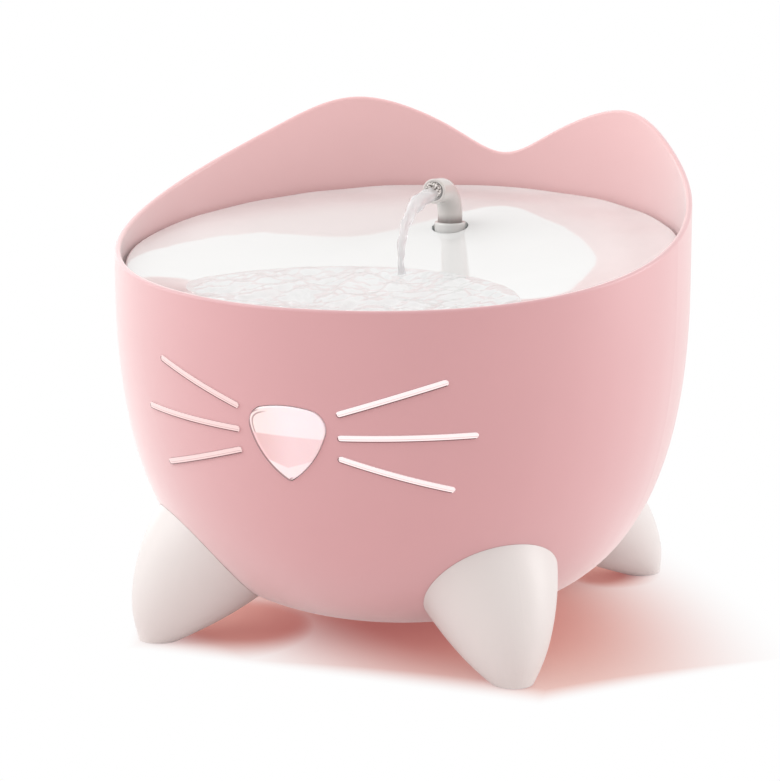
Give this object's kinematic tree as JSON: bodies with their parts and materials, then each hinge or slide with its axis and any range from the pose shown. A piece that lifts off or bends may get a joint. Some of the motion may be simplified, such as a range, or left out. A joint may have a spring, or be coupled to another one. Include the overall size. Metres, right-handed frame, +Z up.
{
  "type": "pet water fountain",
  "caption": "Round pet drinking fountain with cat ears, splayed feet, a lift-out water tank, a dished tray, a gooseneck spout and a magnetic pump inside.",
  "frame": {"origin": "on the floor under the middle of the bowl", "axes": "+Z up, -Y the front with the nose, +X to the right seen from the front"},
  "size_m": [0.26, 0.26, 0.2245],
  "materials": {
    "pink_shell": "satin-gloss moulded",
    "white_feet": "satin moulded",
    "rubber_pads": "matte",
    "screw_steel": "plated",
    "lens_pink": "glossy, translucent",
    "white_inner": "satin moulded",
    "circuit_board": "solder mask",
    "led_resin": "cast resin",
    "black_plastic": "fine grain",
    "contact_brass": "polished",
    "tank_clear": "frosted, translucent",
    "filter_pad": "felted fibre",
    "pump_plastic": "moulded",
    "riser_clear": "clear, tinted white",
    "magnet_dark": "bonded ferrite",
    "white_tray": "polished",
    "white_spout": "satin moulded"
  },
  "bodies": {
    "base": {"outer_shell": "pink_shell", "foot_front_left": "white_feet", "foot_front_right": "white_feet", "foot_rear_left": "white_feet", "foot_rear_right": "white_feet", "foot_pad_front_left": "rubber_pads", "foot_pad_front_right": "rubber_pads", "foot_pad_rear_left": "rubber_pads", "foot_pad_rear_right": "rubber_pads", "foot_screws": "screw_steel", "nose_lens": "lens_pink", "whisker_guide_left": "lens_pink", "whisker_guide_right": "lens_pink", "light_housing": "white_inner", "light_board": "circuit_board", "light_emitters": "led_resin", "light_screws": "screw_steel", "power_inlet": "black_plastic", "inlet_pin": "contact_brass", "inlet_nut": "black_plastic", "support_ring": "white_inner"},
    "reservoir": {"reservoir_tank": "tank_clear", "filter_housing": "white_inner", "filter_cartridge": "filter_pad", "filter_lid": "white_inner", "pump_body": "pump_plastic", "pump_cover": "pump_plastic", "pump_shaft": "screw_steel", "suction_cups": "rubber_pads", "riser_tube": "riser_clear"},
    "impeller": {"impeller": "pump_plastic", "rotor_magnet": "magnet_dark"},
    "tray": {"drinking_tray": "white_tray", "spout_collar": "white_inner"},
    "spout": {"spout": "white_spout"}
  },
  "joints": [
    {"name": "reservoir_lift", "type": "slide", "parent": "base", "child": "reservoir", "axis": [0, 0, 1], "range_m": [0, 0.215]},
    {"name": "tray_lift", "type": "slide", "parent": "reservoir", "child": "tray", "axis": [0, 0, 1], "range_m": [0, 0.1]},
    {"name": "spout_swivel", "type": "hinge", "parent": "tray", "child": "spout", "pos_m": [0, 0.058, 0.175], "axis": [0, 0, 1], "continuous": true},
    {"name": "impeller_spin", "type": "hinge", "parent": "reservoir", "child": "impeller", "pos_m": [0, 0.05, 0.043], "axis": [0, 1, 0], "continuous": true}
  ]
}
